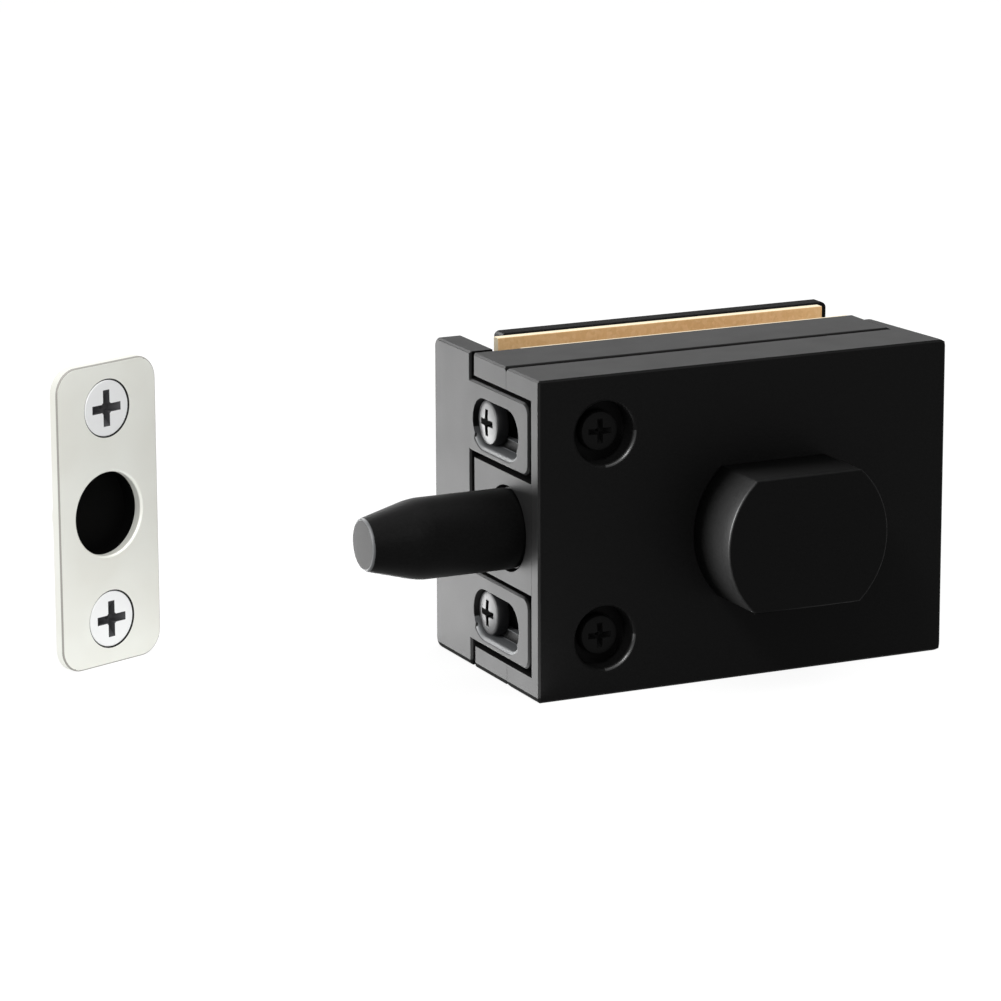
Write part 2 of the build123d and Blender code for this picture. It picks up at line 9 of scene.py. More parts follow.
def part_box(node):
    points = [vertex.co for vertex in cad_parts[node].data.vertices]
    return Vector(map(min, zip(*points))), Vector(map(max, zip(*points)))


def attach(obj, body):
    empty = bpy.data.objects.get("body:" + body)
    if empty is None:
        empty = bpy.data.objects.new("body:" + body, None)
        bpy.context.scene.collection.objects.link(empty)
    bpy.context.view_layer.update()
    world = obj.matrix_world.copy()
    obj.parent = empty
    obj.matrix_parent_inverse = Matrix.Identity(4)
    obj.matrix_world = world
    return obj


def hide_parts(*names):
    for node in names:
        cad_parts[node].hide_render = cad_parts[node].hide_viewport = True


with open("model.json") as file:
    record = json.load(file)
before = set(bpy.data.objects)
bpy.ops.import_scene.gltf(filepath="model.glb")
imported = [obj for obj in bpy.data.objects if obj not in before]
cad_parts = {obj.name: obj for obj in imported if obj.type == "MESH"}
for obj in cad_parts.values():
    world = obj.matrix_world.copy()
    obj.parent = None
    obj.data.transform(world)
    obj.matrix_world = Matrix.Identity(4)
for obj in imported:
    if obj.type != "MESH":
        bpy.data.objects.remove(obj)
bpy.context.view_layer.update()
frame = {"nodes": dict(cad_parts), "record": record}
MM = 0.001

# Read from the frame
NODES = frame["nodes"]
BODIES = frame["record"]["behaviour"]["bodies"]
BODY_OF = {node: body for body, nodes in BODIES.items() for node in nodes}
SLOT_OF = {part["node"]: part["material_slot"] for part in frame["record"]["subparts"]}
FLOOR_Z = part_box("lock_body")[0].z

# Lengths in millimetres from here to the helpers
# Rounding of a plain edge, of sheets and of the two lips of the seam between cover and body
PLAIN_EDGE = 0.12
SHEET_EDGE = 0.15
SEAM_EDGE = 0.35
# Places of those lips along Y
SEAM_FRONT = -0.7
SEAM_BACK = 1.1
# Counterbores of the clamp screws
SINK_X = 14.3
SINK_Z = 20.4
SINK_RADIUS = 6.25
# Slots in the tongues: middles along Z, ends along Y, half height, and the tops of their lower lips
SLOT_Z = (18.85, -19.85)
SLOT_Y = (-6.0, 16.0)
SLOT_HALF = 5.5
SLOT_LIP_TOP = -2.4
# Start of the bolt's taper
SHOULDER_X = -20.0
# Strike plate, from the centre of its face: reach of the hole's edge and of a countersink, inner
# sides of its rim along X and Z, and where a rounded corner has its centre and its rim starts
STRIKE_HOLE_REACH = 9.2
STRIKE_SINK_REACH = 6.1
STRIKE_HEAD_RADIUS = 5.75
STRIKE_RIM_X = 12.55
STRIKE_RIM_Z = 30.35
STRIKE_CORNER = (8, 25.8)
STRIKE_CORNER_REACH = 4.55
# Turns of the faces at an edge, in degrees: it is rounded past the first, shaded sharp past the second
SHARP = 32.0
CREASE = 35.0
# Light of the floor where it is seen, its share there, and light of the world where it is not seen
FLOOR_LIGHT = 1.1
FLOOR_SHARE = 0.8
WORLD_FILL = 0.55


def linear(hex_colour):
    """Linear RGBA of an sRGB hex colour."""
    def channel(v):
        return v / 12.92 if v <= 0.04045 else ((v + 0.055) / 1.055) ** 2.4
    parts = [int(hex_colour[i:i + 2], 16) / 255 for i in (1, 3, 5)]
    return [channel(v) for v in parts] + [1.0]


def node(tree, kind, links=None, **settings):
    """Add a node, set its sockets and properties, and link sockets to the given outputs."""
    made = tree.nodes.new(kind)
    for key, value in settings.items():
        if key.startswith("in_"):
            name = key[3:]
            socket = int(name) if name.isdigit() else name.replace("_", " ")
            made.inputs[socket].default_value = value
        else:
            setattr(made, key, value)
    for key, source in (links or {}).items():
        tree.links.new(source, made.inputs[key])
    return made


def new_material(name):
    """Empty node material: itself, its tree, its output and its object coordinates."""
    material = bpy.data.materials.new(name)
    material.use_nodes = True
    tree = material.node_tree
    tree.nodes.clear()
    output = node(tree, "ShaderNodeOutputMaterial")
    place = node(tree, "ShaderNodeTexCoord").outputs["Object"]
    return material, tree, output, place


def noise(tree, place, per_mm, detail, **settings):
    """Noise with so many features per millimetre."""
    made = node(tree, "ShaderNodeTexNoise", {"Vector": place}, in_Scale=per_mm / MM,
                in_Detail=detail, **settings)
    return made.outputs["Fac"]


def total(tree, a, b):
    """Sum of two values."""
    return node(tree, "ShaderNodeMath", {0: a, 1: b}, operation="ADD").outputs[0]


def spread(tree, value, low, high):
    """Value from 0 to 1 stretched from low to high."""
    return node(tree, "ShaderNodeMapRange", {"Value": value}, in_3=low, in_4=high).outputs["Result"]


def ramp(tree, source, *stops):
    """Colour ramp from (position, hex colour) stops."""
    made = node(tree, "ShaderNodeValToRGB", {"Fac": source})
    elements = made.color_ramp.elements
    while len(elements) < len(stops):
        elements.new(0.5)
    for element, (position, colour) in zip(elements, stops):
        element.position = position
        element.color = linear(colour)
    return made.outputs["Color"]


def bumps(tree, height, strength, distance):
    """Surface direction from a height, with the distance in millimetres."""
    made = node(tree, "ShaderNodeBump", {"Height": height}, in_Strength=strength,
                in_Distance=distance * MM)
    return made.outputs["Normal"]


def principled(tree, output, links, **settings):
    """Principled shader as the surface of a material."""
    shader = node(tree, "ShaderNodeBsdfPrincipled", links, **settings)
    tree.links.new(shader.outputs["BSDF"], output.inputs["Surface"])


def black_coating():
    """Satin black powder coat: a deep black with a fine even grain and a soft sheen."""
    material, tree, output, place = new_material("satin_black_powder_coat")
    grain = noise(tree, place, 2.6, 3.0, in_Roughness=0.6)
    blotch = noise(tree, place, 0.12, 2.0)
    rough = spread(tree, blotch, 0.47, 0.53)
    tint = ramp(tree, grain, (0.3, "#020202"), (0.7, "#070707"))
    normal = bumps(tree, grain, 0.3, 0.012)
    principled(tree, output, {"Base Color": tint, "Roughness": rough, "Normal": normal},
               in_Specular_IOR_Level=0.045)
    return material


def fibre_sheet():
    """Compressed cork and rubber sheet: tan, with darker and paler crumbs and a matt face."""
    material, tree, output, place = new_material("cork_rubber_sheet")
    crumbs = node(tree, "ShaderNodeTexVoronoi", {"Vector": place}, in_Scale=1.3 / MM,
                  in_Randomness=1.0)
    fine = noise(tree, place, 3.0, 4.0)
    broad = noise(tree, place, 0.08, 2.0)
    crumb_tone = node(tree, "ShaderNodeSeparateColor",
                      {"Color": crumbs.outputs["Color"]}).outputs["Red"]
    mixed = total(tree, total(tree, crumb_tone, fine), broad)
    tone = node(tree, "ShaderNodeMath", {0: mixed}, operation="DIVIDE", in_1=3.0).outputs[0]
    tint = ramp(tree, tone, (0.3, "#cea773"), (0.5, "#d5ae7b"), (0.7, "#dbb686"))
    normal = bumps(tree, tone, 0.35, 0.04)
    principled(tree, output, {"Base Color": tint, "Normal": normal}, in_Roughness=0.85,
               in_Specular_IOR_Level=0.3)
    return material


def satin_steel():
    """Satin stainless steel: fine upright brush lines that spread the light, slightly warm."""
    material, tree, output, place = new_material("satin_brushed_stainless")
    lie = node(tree, "ShaderNodeMapping", {"Vector": place}, in_Scale=(1.0, 1.0, 0.03))
    lines = noise(tree, lie.outputs["Vector"], 5.0, 3.0, in_Roughness=0.7)
    cloud = noise(tree, place, 0.06, 2.0)
    tint = ramp(tree, cloud, (0.35, "#e9e9e1"), (0.65, "#eff0e9"))
    rough = spread(tree, lines, 0.42, 0.56)
    normal = bumps(tree, lines, 0.15, 0.01)
    principled(tree, output, {"Base Color": tint, "Roughness": rough, "Normal": normal},
               in_Metallic=0.35)
    return material


def plain(name, colour, roughness, metallic=0.0, per_mm=2.0, level=0.5):
    """One colour with a fine grain in its roughness and surface, per_mm features a millimetre."""
    material, tree, output, place = new_material(name)
    grain = noise(tree, place, per_mm, 4.0)
    rough = spread(tree, grain, roughness - 0.05, roughness + 0.05)
    normal = bumps(tree, grain, 0.2, 0.02)
    principled(tree, output, {"Roughness": rough, "Normal": normal}, in_Base_Color=linear(colour),
               in_Metallic=metallic, in_Specular_IOR_Level=level)
    return material


MATERIALS = {
    "black_case": black_coating(),
    "fibre_gasket": fibre_sheet(),
    "black_screw": plain("black_zinc_plate", "#111112", 0.44, per_mm=3.0, level=0.18),
    "steel": plain("turned_steel", "#b9bbbd", 0.3, 1.0),
    "brass": plain("turned_brass", "#c8a55a", 0.3, 1.0),
    "nylon": plain("black_moulded_nylon", "#121213", 0.55, level=0.2),
    "strike_steel": satin_steel(),
    "bright_screw": plain("bright_nickel_plate", "#f3f4f4", 0.34, 0.25, per_mm=3.0),
    "black_plastic": plain("black_moulded_plastic", "#040404", 0.6, level=0.05),
}
# The driver recess is painted dark as shade, darker and duller than the head
RECESS_PAINTED_SHADE = {
    "black_screw": plain("recess_painted_shade_black", "#070707", 0.7, per_mm=4.0, level=0.05),
    "bright_screw": plain("recess_painted_shade_plate", "#48484a", 0.6, 0.3, per_mm=4.0, level=0.2),
}
# A shinier coat on the lower right of each counterbore's rim paints a crescent of light there, a
# painted highlight
RIM_PAINTED_HIGHLIGHT = plain("rim_painted_highlight_coat", "#060606", 0.4, per_mm=3.0, level=0.32)
# A duller coat on the top faces of the jaw's plate darkens them: painted shade
PLATE_TOP_PAINTED_SHADE = plain("dull_thin_coat", "#080808", 0.6, per_mm=3.0, level=0.01)
# The clamp screws have a duller, darker black than the end screws: painted shade on a copy of the same
# black
CLAMP_SCREW_PAINTED_SHADE = plain("clamp_screw_painted_shade", "#090909", 0.55, per_mm=3.0, level=0.045)
# The sheared faces of the strike plate are darker than its brushed face, and its countersinks are
# painted dark as shade round the heads
SHEARED_EDGE = plain("sheared_steel_edge", "#a09e99", 0.6, 0.5, per_mm=3.0, level=0.3)
COUNTERSINK_PAINTED_SHADE = plain("shaded_countersink", "#2a2a2a", 0.7, 0.3, per_mm=3.0, level=0.1)
# A lighter, shinier coat: painted light on the upward faces of the slots' lower lips, and rubbed wear
# with a painted highlight on the rim of the bolt's tip
RUBBED_COAT_AND_PAINTED_LIGHT = plain("rubbed_coat_painted_light_lip", "#303132", 0.5, per_mm=3.0, level=0.2)
# A cut through the fibre sheet is paler than its faces, partly its own paler colour and partly painted
# light
CUT_EDGE_AND_PAINTED_LIGHT = plain("cut_edge_painted_light_fibre_sheet", "#f4e6c9", 0.9, per_mm=1.5, level=0.2)
for name, obj in NODES.items():
    obj.data.materials.clear()
    obj.data.materials.append(MATERIALS[SLOT_OF[name]])


def box_mm(cad_node):
    """Corners of a CAD node's box in millimetres."""
    return [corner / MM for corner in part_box(cad_node)]


def middle(low, high):
    """Mid-point of a box."""
    return (low + high) / 2


def near(a, b, gap=0.02):
    """True where two lengths in millimetres are the same."""
    return abs(a - b) < gap


def both(edge, test):
    """True where both ends of an edge, in millimetres, pass a test."""
    return all(test(*(v.co / MM)) for v in edge.verts)


def is_sharp(edge, angle=SHARP):
    """True where the two faces of an edge turn by more than an angle."""
    return edge.calc_face_angle(0) > radians(angle)


def length_along_y(edge):
    """How far an edge runs along Y, in millimetres."""
    return abs(edge.verts[0].co.y - edge.verts[1].co.y) / MM


def merged_copy(name):
    """Copy of a CAD node's mesh as one closed skin with flat faces joined."""
    mesh = NODES[name].data.copy()
    for layer in ("custom_normal", "sharp_edge", "sharp_face"):
        if layer in mesh.attributes:
            mesh.attributes.remove(mesh.attributes[layer])
    bm = bmesh.new()
    bm.from_mesh(mesh)
    bpy.data.meshes.remove(mesh)
    bmesh.ops.remove_doubles(bm, verts=bm.verts, dist=0.0005 * MM)
    bmesh.ops.dissolve_limit(bm, angle_limit=radians(0.4), verts=bm.verts, edges=bm.edges)
    return bm


def soften(bm, width, segments=2, chosen=is_sharp, clamp=True):
    """Round the chosen edges by a width in millimetres."""
    bmesh.ops.bevel(bm, geom=[e for e in bm.edges if chosen(e)], offset=width * MM,
                    offset_type="OFFSET", segments=segments, profile=0.5, affect="EDGES",
                    clamp_overlap=clamp, material=-1)


def finish_piece(name, bm, cad_node, *materials):
    """Make the piece, smooth it, give it its finish, and let it stand for its CAD node."""
    mesh = bpy.data.meshes.new(name)
    bm.to_mesh(mesh)
    bm.free()
    for face in mesh.polygons:
        face.use_smooth = True
    for material in materials or (MATERIALS[SLOT_OF[cad_node]],):
        mesh.materials.append(material)
    obj = bpy.data.objects.new(name, mesh)
    bpy.context.scene.collection.objects.link(obj)
    weigh = obj.modifiers.new("even_faces", "WEIGHTED_NORMAL")
    weigh.weight = 80
    weigh.keep_sharp = True
    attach(obj, BODY_OF[cad_node])
    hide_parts(cad_node)
    return obj


def softened(name, cad_node, width=PLAIN_EDGE, segments=2, special=()):
    """Piece from its CAD solid with rounded edges, the special (test, width) ones first."""
    bm = merged_copy(cad_node)
    for chosen, wide in special:
        soften(bm, wide, 4, chosen=chosen, clamp=False)
    soften(bm, width, segments)
    return finish_piece(name, bm, cad_node)


def paint(obj, finishes, pick):
    """Give faces other finishes: pick returns 0 for their own, or a place in the list from 1."""
    for finish in finishes:
        obj.data.materials.append(finish)
    for face in obj.data.polygons:
        face.material_index = pick(face.center / MM, face.normal)


def turned(profile, steps=64):
    """Closed skin turned about the Z axis from (radius, z) points in millimetres."""
    bm = bmesh.new()
    ring = [bm.verts.new((r * MM, 0, z * MM)) for r, z in profile]
    edges = [bm.edges.new(pair) for pair in zip(ring, ring[1:])]
    bmesh.ops.spin(bm, geom=ring + edges, cent=(0, 0, 0), axis=(0, 0, 1), angle=2 * pi,
                   steps=steps, use_merge=True)
    bmesh.ops.remove_doubles(bm, verts=bm.verts, dist=0.0005 * MM)
    bmesh.ops.recalc_face_normals(bm, faces=bm.faces)
    return bm


def thread_ridge(radius, depth, pitch, start, end, steps=24):
    """Closed helical ridge from start to end along Z, with its root sunk in the core."""
    bm = bmesh.new()
    root = radius - depth - 0.05
    half = 0.44 * pitch
    crest = 0.06 * pitch
    corners = [(root, -half), (radius, -crest), (radius, crest), (root, half)]
    ring = [bm.verts.new((r * MM, 0, (start + half + z) * MM)) for r, z in corners]
    edges = [bm.edges.new((a, b)) for a, b in zip(ring, ring[1:] + ring[:1])]
    turns = int((end - start - 2 * half) / pitch * steps)
    bmesh.ops.spin(bm, geom=ring + edges, cent=(0, 0, 0), axis=(0, 0, 1),
                   dvec=(0, 0, pitch / steps * MM), angle=2 * pi * turns / steps, steps=turns)
    bmesh.ops.holes_fill(bm, edges=[e for e in bm.edges if e.is_boundary], sides=4)
    bmesh.ops.recalc_face_normals(bm, faces=bm.faces)
    return bm


def recess_cutter(top, length, width, depth):
    """Cross with four tapering wings and a pointed core, from above the head to its depth."""
    bm = bmesh.new()
    above = 0.6
    end_length, end_width = 0.52, 0.72
    for turn in (0.0, 90.0):
        wing = bmesh.ops.create_cube(bm, size=1.0)["verts"]
        for vert in wing:
            deep = vert.co.z > 0
            vert.co.x *= length * (end_length if deep else 1.0 + (1.0 - end_length) * above / depth)
            vert.co.y *= width * (end_width if deep else 1.0 + (1.0 - end_width) * above / depth)
            vert.co.z = top + depth if deep else top - above
        bmesh.ops.rotate(bm, verts=wing, cent=(0, 0, 0),
                         matrix=Matrix.Rotation(radians(turn), 3, "Z"))
    core_depth = 1.35 * depth
    core = bmesh.ops.create_cone(bm, cap_ends=True, segments=24,
                                 radius1=0.5 * width + 0.08 * length, radius2=0.1 * width,
                                 depth=core_depth)["verts"]
    bmesh.ops.translate(bm, verts=core, vec=(0, 0, top + core_depth / 2))
    bmesh.ops.transform(bm, verts=bm.verts, matrix=Matrix.Scale(MM, 4))
    bmesh.ops.recalc_face_normals(bm, faces=bm.faces)
    return bm


def hollowed(solid, cutter, finishes):
    """Solid less the cutter, with the cut faces in the second of the two finishes."""
    objects = []
    for index, bm in enumerate((solid, cutter)):
        for face in bm.faces:
            face.material_index = index
        mesh = bpy.data.meshes.new("blank")
        bm.to_mesh(mesh)
        bm.free()
        for material in finishes:
            mesh.materials.append(material)
        objects.append(bpy.data.objects.new("blank", mesh))
        bpy.context.scene.collection.objects.link(objects[-1])
    cut = objects[0].modifiers.new("recess", "BOOLEAN")
    cut.operation = "DIFFERENCE"
    cut.solver = "EXACT"
    cut.use_self = True
    cut.object = objects[1]
    depsgraph = bpy.context.evaluated_depsgraph_get()
    result = bpy.data.meshes.new_from_object(objects[0].evaluated_get(depsgraph))
    bm = bmesh.new()
    bm.from_mesh(result)
    for obj in objects:
        mesh = obj.data
        bpy.data.objects.remove(obj)
        bpy.data.meshes.remove(mesh)
    bpy.data.meshes.remove(result)
    return bm


def add_mesh(bm, other, matrix):
    """Add a copy of another bmesh, placed by a matrix."""
    mesh = bpy.data.meshes.new("part")
    other.to_mesh(mesh)
    mesh.transform(matrix)
    bm.from_mesh(mesh)
    bpy.data.meshes.remove(mesh)


def pan_profile(head, height, crown, shank, core, neck, length):
    """Domed head and shank as (radius, z) points, with the seat at z = 0 and the head below."""
    radius = head / 2
    side = height - crown
    side_start = 0.45 * side
    rim = 0.93 * radius
    drop = 0.6 * crown
    points = [(rim * k / 8, drop * (k / 8) ** 2 - height) for k in range(9)]
    for k in range(1, 7):
        turn = radians(90 * k / 6)
        points.append((rim + (radius - rim) * sin(turn),
                       -side_start - (height - drop - side_start) * cos(turn)))
    points += [(radius, -0.05 * side), (radius - 0.1, 0), (shank + 0.2, 0), (shank, 0.2),
               (shank, neck), (core, neck + shank - core), (core, length - 0.5),
               (core - 0.5, length), (0, length)]
    return points


def flat_profile(head, rim, shank, core, neck, length):
    """Countersunk head and shank as (radius, z) points, with the face at z = 0."""
    radius = head / 2
    cone = radius - shank
    return [(0, 0), (radius / 2, 0), (radius - 0.15, 0.0), (radius, 0.12), (radius - 0.02, rim),
            (shank, cone), (shank, cone + neck), (core, cone + neck + shank - core),
            (core, length - 0.8), (core - 0.8, length), (0, length)]


def screws(name, cad_node, profile, recess, thread, places, finish=None):
    """Screws turned from one profile, with a cross recess and a thread, at each matrix."""
    # The recess faces take the second finish, painted dark as shade
    finishes = (finish or MATERIALS[SLOT_OF[cad_node]], RECESS_PAINTED_SHADE[SLOT_OF[cad_node]])
    blank = hollowed(turned(profile), recess, finishes)
    add_mesh(blank, thread, Matrix.Identity(4))
    thread.free()
    bm = bmesh.new()
    for matrix in places:
        add_mesh(bm, blank, matrix)
    blank.free()
    obj = finish_piece(name, bm, cad_node, *finishes)
    obj.data.set_sharp_from_angle(angle=radians(CREASE))
    return obj


# Turn of the strike about the upright axis, and the centre of its front face
STRIKE_TURN = Matrix.Rotation(radians(21.0), 4, "Z")
STRIKE_FACE = middle(*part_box("strike_plate")) - STRIKE_TURN @ Vector((0, 1.0 * MM, 0))


def make_clamp_screws():
    """The two long pan-head screws in the front, which run along Y."""
    head, height = 8.0, 2.5
    low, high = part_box("clamp_screws")
    half = head / 2 * MM
    into = Matrix.Rotation(radians(-90), 4, "X")
    places = [Matrix.Translation((middle(low, high).x, low.y + height * MM, z)) @ into
              for z in (low.z + half, high.z - half)]
    profile = pan_profile(head, height, crown=0.5, shank=2.0, core=1.57, neck=12.0, length=40.0)
    recess = recess_cutter(top=-height, length=5.2, width=1.2, depth=1.5)
    thread = thread_ridge(radius=2.0, depth=0.43, pitch=0.7, start=12.0, end=39.3)
    # Their darker, duller finish is painted shade
    return screws("clamp_pan_screws", "clamp_screws", profile, recess, thread, places, CLAMP_SCREW_PAINTED_SHADE)


def make_end_screws():
    """The two short pan-head screws in the slots of the tongues, which run along X."""
    head, height = 9.2, 2.8
    low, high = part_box("end_screws")
    half = head / 2 * MM
    into = Matrix.Rotation(radians(90), 4, "Y")
    places = [Matrix.Translation((low.x + height * MM, high.y - half, z)) @ into
              for z in (low.z + half, high.z - half)]
    profile = pan_profile(head, height, crown=0.6, shank=2.5, core=2.05, neck=0.6, length=7.0)
    recess = recess_cutter(top=-height, length=5.6, width=1.3, depth=1.7)
    thread = thread_ridge(radius=2.5, depth=0.45, pitch=0.8, start=0.8, end=6.4)
    return screws("end_pan_screws", "end_screws", profile, recess, thread, places)


def make_strike_screws():
    """The two large countersunk screws of the strike, square to its face."""
    low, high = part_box("strike_screws")
    half = STRIKE_HEAD_RADIUS * MM
    into = STRIKE_TURN @ Matrix.Rotation(radians(-90), 4, "X")
    places = [Matrix.Translation((STRIKE_FACE.x, STRIKE_FACE.y, z)) @ into
              for z in (low.z + half, high.z - half)]
    profile = flat_profile(head=11.3, rim=0.35, shank=2.5, core=2.05, neck=1.0, length=10.5)
    recess = recess_cutter(top=0.0, length=7.4, width=1.7, depth=1.6)
    thread = thread_ridge(radius=2.5, depth=0.45, pitch=1.0, start=4.2, end=9.6)
    return screws("strike_flat_screws", "strike_screws", profile, recess, thread, places)


def make_bolt():
    """Bolt with a rounded shoulder where its taper starts, and a round rim at its tip that is rubbed
    and carries a painted highlight.
    """
    bm = merged_copy("bolt")
    tip = box_mm("bolt")[0].x
    shoulder_round, tip_round = 3.0, 0.5

    def at_shoulder(edge):
        return both(edge, lambda x, y, z: near(x, SHOULDER_X))

    def at_tip(edge):
        return both(edge, lambda x, y, z: near(x, tip)) and is_sharp(edge)

    def finish_of(centre, normal):
        # The tip's rim takes the rubbed coat with its painted highlight
        return int(centre.x < tip + tip_round + 0.1 and 0.15 < -normal.x < 0.99)

    soften(bm, shoulder_round, 8, chosen=at_shoulder)
    soften(bm, tip_round, 4, chosen=at_tip, clamp=False)
    soften(bm, PLAIN_EDGE)
    obj = finish_piece("bolt_round_taper", bm, "bolt")
    paint(obj, [RUBBED_COAT_AND_PAINTED_LIGHT], finish_of)
    return obj


def make_knob():
    """Thumb knob with the corners of its two flats eased."""
    bm = merged_copy("knob")
    low, high = box_mm("knob")
    flat = (high.z - low.z) / 2
    centre = (low.z + high.z) / 2
    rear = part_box("knob")[1].y
    flat_round, shortest = 0.5, 5

    def at_flat(edge):
        on_flat = both(edge, lambda x, y, z: near(abs(z - centre), flat, 0.01))
        return on_flat and length_along_y(edge) > shortest

    soften(bm, flat_round, 4, chosen=at_flat)
    soften(bm, PLAIN_EDGE, chosen=lambda edge: is_sharp(edge, 40.0))
    # The bevels meet in a thin spike at one rear corner, which goes back into the rear face
    for vert in bm.verts:
        vert.co.y = min(vert.co.y, rear)
    bmesh.ops.remove_doubles(bm, verts=bm.verts, dist=0.004 * MM)
    return finish_piece("thumb_knob", bm, "knob")


def make_cover():
    """Cover tray: its seam lip, its two right corners and its counterbores are eased more."""
    low, high = box_mm("front_cover")
    corner_round, sink_round = 1.3, 0.85
    corner_zone, shortest = 2.5, 1.2
    rim_band = 0.8

    def from_sink(x, z):
        return Vector((x - SINK_X, abs(z) - SINK_Z)).length

    def seam(edge):
        return both(edge, lambda x, y, z: near(y, SEAM_FRONT) and near(abs(z), high.z))

    def corner(edge):
        at_end = both(edge, lambda x, y, z: x > high.x - corner_zone and near(abs(z), high.z))
        return at_end and length_along_y(edge) > shortest

    def sink_rim(edge):
        return both(edge, lambda x, y, z: near(y, low.y)
                    and near(from_sink(x, z), SINK_RADIUS, 0.1))

    def finish_of(centre, normal):
        on_rim = (centre.y < low.y + sink_round + 0.1 and 0.1 < -normal.y < 0.97
                  and near(from_sink(centre.x, centre.z), SINK_RADIUS, rim_band))
        # Only the lower right of each rim takes the painted highlight
        return int(on_rim and normal.x < 0.0 and normal.z > 0.0)

    obj = softened("cover_tray", "front_cover",
                   special=((corner, corner_round), (seam, SEAM_EDGE), (sink_rim, sink_round)))
    paint(obj, [RIM_PAINTED_HIGHLIGHT], finish_of)
    return obj


def make_body():
    """Lock body, with the lip of the seam eased more than the rest."""
    top = box_mm("lock_body")[1].z

    def seam(edge):
        return both(edge, lambda x, y, z: near(y, SEAM_BACK) and near(abs(z), top))

    return softened("body_block", "lock_body", special=((seam, SEAM_EDGE),))


def make_jaw():
    """Rear jaw, with painted light on the lower lip of each slot, an eased front edge on its plate,
    and painted shade on the plate's top.
    """
    left = box_mm("rear_jaw")[0].x
    plate_front = box_mm("rear_gasket")[1].y
    lip_round, plate_round = 1.0, 0.45
    # The plate's outline lies past the first three, and its top and bottom faces right of the neck
    plate_left, plate_right, plate_top = 12.9, 86.0, 30.7
    neck_right = 11.0
    wall_start, wall_end = 0.02, 12.0

    def in_slot(y, z, top):
        return SLOT_Y[0] < y < SLOT_Y[1] and any(-SLOT_HALF < z - centre < top for centre in SLOT_Z)

    def slot_lip(edge):
        return both(edge, lambda x, y, z: near(x, left) and in_slot(y, z, SLOT_LIP_TOP))

    def plate_edge(edge):
        return both(edge, lambda x, y, z: near(y, plate_front) and x > plate_left
                    and (abs(z) > plate_top or x > plate_right))

    # Upward faces in the lower half of each slot take painted light
    def finish_of(centre, normal):
        in_wall = wall_start < centre.x < wall_end
        if normal.z > 0.3 and in_wall and in_slot(centre.y, centre.z, 0.0):
            return 1
        # Top faces of the plate right of the neck take the painted shade
        return 2 if normal.z > 0.9 and centre.y > plate_front and centre.x > neck_right else 0

    obj = softened("jaw_clamp", "rear_jaw",
                   special=((slot_lip, lip_round), (plate_edge, plate_round)))
    paint(obj, [RUBBED_COAT_AND_PAINTED_LIGHT, PLATE_TOP_PAINTED_SHADE], finish_of)
    return obj


def make_gasket(name, cad_node):
    """Fibre sheet whose cut edges are paler than its faces, partly their own colour and partly painted
    light.
    """
    obj = softened(name, cad_node, SHEET_EDGE, 3)
    paint(obj, [CUT_EDGE_AND_PAINTED_LIGHT], lambda centre, normal: int(abs(normal.y) < 0.6))
    return obj


def make_strike():
    """Strike plate: brushed face, darker sheared rim, and countersinks painted dark as shade round the
    heads.
    """
    bm = merged_copy("strike_plate")
    back = STRIKE_TURN.inverted().to_3x3()
    low, high = box_mm("strike_screws")
    screw_z = (high.z - low.z) / 2 - STRIKE_HEAD_RADIUS

    def local(point):
        return back @ (point * MM - STRIKE_FACE) / MM

    def at_hole(edge):
        inside = both(edge, lambda x, y, z: local(Vector((x, y, z))).xz.length < STRIKE_HOLE_REACH)
        return inside and is_sharp(edge)

    def finish_of(centre, normal):
        place, out = local(centre), back @ normal
        to_screw = min((place.xz - Vector((0, z))).length for z in (-screw_z, screw_z))
        # Faces round the screw heads take the painted shade
        if to_screw < STRIKE_SINK_REACH and abs(out.y) < 0.98:
            return 2
        x, z = abs(place.x), abs(place.z)
        past_corner = Vector((x - STRIKE_CORNER[0], z - STRIKE_CORNER[1]))
        at_rim = x > STRIKE_RIM_X or z > STRIKE_RIM_Z or (
            min(past_corner) > 0 and past_corner.length > STRIKE_CORNER_REACH)
        return int(at_rim and -0.97 < out.y < -0.1)

    soften(bm, SHEET_EDGE, 3, chosen=at_hole)
    obj = finish_piece("strike_plate_satin", bm, "strike_plate")
    paint(obj, [SHEARED_EDGE, COUNTERSINK_PAINTED_SHADE], finish_of)
    obj.data.set_sharp_from_angle(angle=radians(CREASE))
    return obj


def directly_seen(tree):
    """1 for rays from the camera, reflected or through glass, and 0 for diffuse light."""
    path = node(tree, "ShaderNodeLightPath")
    value = path.outputs["Is Camera Ray"]
    for kind in ("Is Glossy Ray", "Is Transmission Ray"):
        value = node(tree, "ShaderNodeMath", {0: value, 1: path.outputs[kind]},
                     operation="MAXIMUM").outputs[0]
    return value


def make_floor():
    """Large pale floor under the part, white to the camera but for a soft shadow."""
    bpy.ops.mesh.primitive_plane_add(size=12.0, location=(0, 0, FLOOR_Z))
    floor = bpy.context.object
    floor.name = "floor"
    material = bpy.data.materials.new("pale_studio_floor")
    material.use_nodes = True
    tree = material.node_tree
    tree.nodes.clear()
    output = node(tree, "ShaderNodeOutputMaterial")
    shader = node(tree, "ShaderNodeBsdfDiffuse", in_Color=linear("#f2f2f2"))
    white = node(tree, "ShaderNodeEmission", in_Strength=FLOOR_LIGHT)
    share = node(tree, "ShaderNodeMath", {0: directly_seen(tree)}, operation="MULTIPLY",
                 in_1=FLOOR_SHARE)
    mix = node(tree, "ShaderNodeMixShader",
               {0: share.outputs[0], 1: shader.outputs[0], 2: white.outputs[0]})
    tree.links.new(mix.outputs[0], output.inputs["Surface"])
    floor.data.materials.append(material)


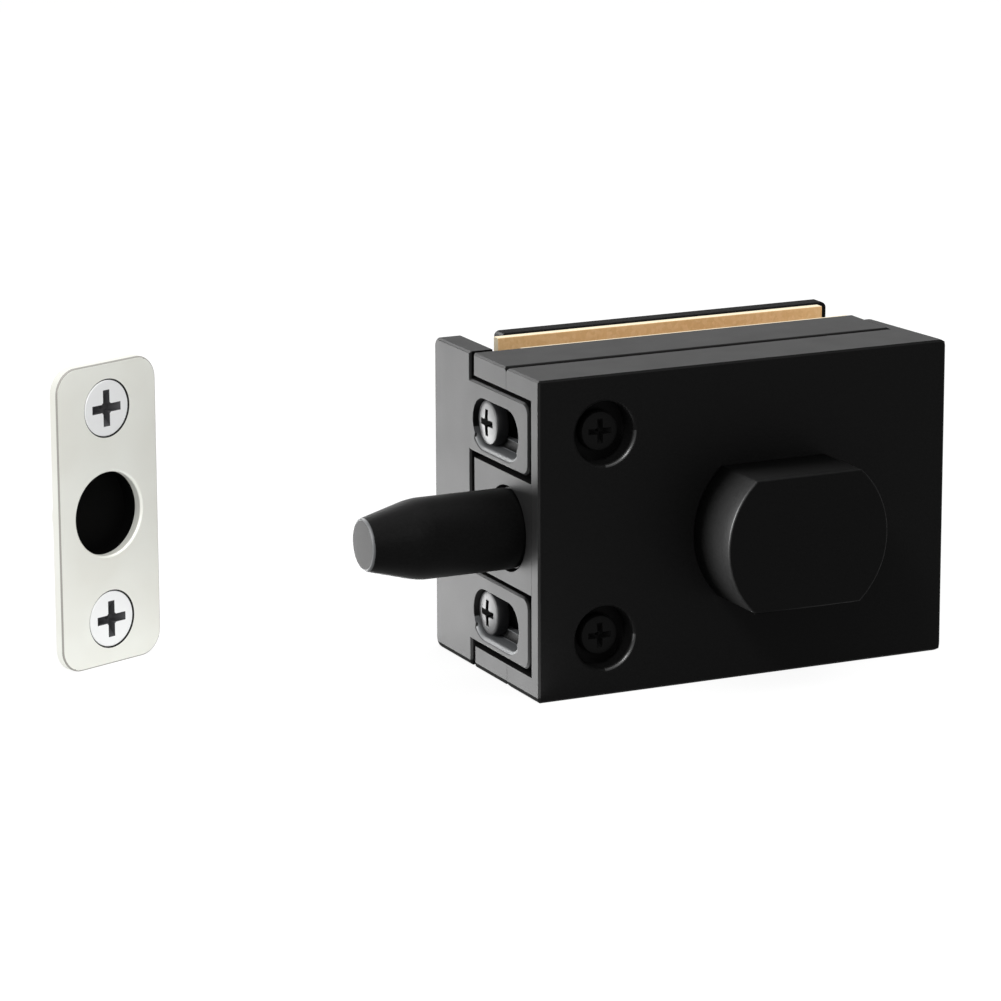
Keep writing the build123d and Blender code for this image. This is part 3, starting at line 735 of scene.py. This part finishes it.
def make_world():
    """White surroundings for the camera and for reflections, softer light for the rest."""
    world = bpy.data.worlds.new("studio")
    bpy.context.scene.world = world
    world.use_nodes = True
    tree = world.node_tree
    tree.nodes.clear()
    output = node(tree, "ShaderNodeOutputWorld")
    level = spread(tree, directly_seen(tree), WORLD_FILL, 1.0)
    light = node(tree, "ShaderNodeBackground", {"Strength": level}, in_Color=(1, 1, 1, 1))
    tree.links.new(light.outputs[0], output.inputs["Surface"])


def softbox(name, place, size, power, lit=(), target=(0, 0, 0)):
    """Square area lamp aimed at a point, unseen by the camera, for all or only some pieces."""
    lamp = bpy.data.lights.new(name, "AREA")
    lamp.shape = "RECTANGLE"
    lamp.size, lamp.size_y = size
    lamp.energy = power
    obj = bpy.data.objects.new(name, lamp)
    obj.location = place
    obj.rotation_euler = (Vector(target) - Vector(place)).to_track_quat("-Z", "Y").to_euler()
    obj.visible_camera = False
    bpy.context.scene.collection.objects.link(obj)
    if lit:
        receivers = bpy.data.collections.new(name + "_lit")
        for piece in lit:
            receivers.objects.link(piece)
        obj.light_linking.receiver_collection = receivers


def floor_panel(name, x, y, size, power, lit):
    """Light panel that lies on the floor and shines straight up."""
    softbox(name, (x, y, FLOOR_Z + MM), size, power, lit, target=(x, y, 1.0))


def make_camera():
    """Camera at the photograph's place, fitted to the edges of the case."""
    place = (-0.37288, -0.78935, 0.21875)
    yaw, pitch, roll = radians(25.204), radians(13.723), radians(-0.206)
    data = bpy.data.cameras.new("camera")
    data.sensor_width = 36.0
    data.sensor_fit = "HORIZONTAL"
    data.lens = 165.95
    camera = bpy.data.objects.new("camera", data)
    camera.matrix_world = (Matrix.Translation(place) @ Matrix.Rotation(-yaw, 4, "Z")
                           @ Matrix.Rotation(radians(90) - pitch, 4, "X")
                           @ Matrix.Rotation(roll, 4, "Z"))
    bpy.context.scene.collection.objects.link(camera)
    bpy.context.scene.camera = camera


cover = make_cover()
body = make_body()
jaw = make_jaw()
make_gasket("front_fibre_sheet", "front_gasket")
make_gasket("rear_fibre_sheet", "rear_gasket")
make_strike()
bolt = make_bolt()
knob = make_knob()
clamp_screws = make_clamp_screws()
end_screws = make_end_screws()
make_strike_screws()
black_pieces = [cover, body, jaw, bolt, knob, clamp_screws, end_screws]
make_floor()
make_world()
# Two panels on the floor give the end face its sheen, which the photo shows beside a black front
floor_panel("end_panel", -0.15, 0.283, (0.30, 0.494), 7.4, black_pieces)
softbox("left_softbox", (-0.8, 0.10, 0.30), (0.25, 0.25), 24, black_pieces)
floor_panel("foot_panel", -0.03, 0.003, (0.06, 0.066), 0.17, [cover, body, jaw])
softbox("back_softbox", (-0.18, 0.75, 0.36), (0.5, 0.3), 8, black_pieces)
softbox("far_softbox", (0.35, 0.80, 0.24), (0.6, 0.3), 0.8, black_pieces)
softbox("knob_softbox", (-0.8, 0.19, 0.24), (0.25, 0.25), 170, [knob])
softbox("rim_softbox", (-0.50, -0.42, 0.68), (0.2, 0.2), 14, [cover])
softbox("front_softbox", (-0.45, -0.75, 0.6), (0.5, 0.5), 4.5)
softbox("top_softbox", (0.1, -0.1, 0.9), (0.8, 0.8), 5)
make_camera()
bpy.context.scene.view_settings.view_transform = "Standard"
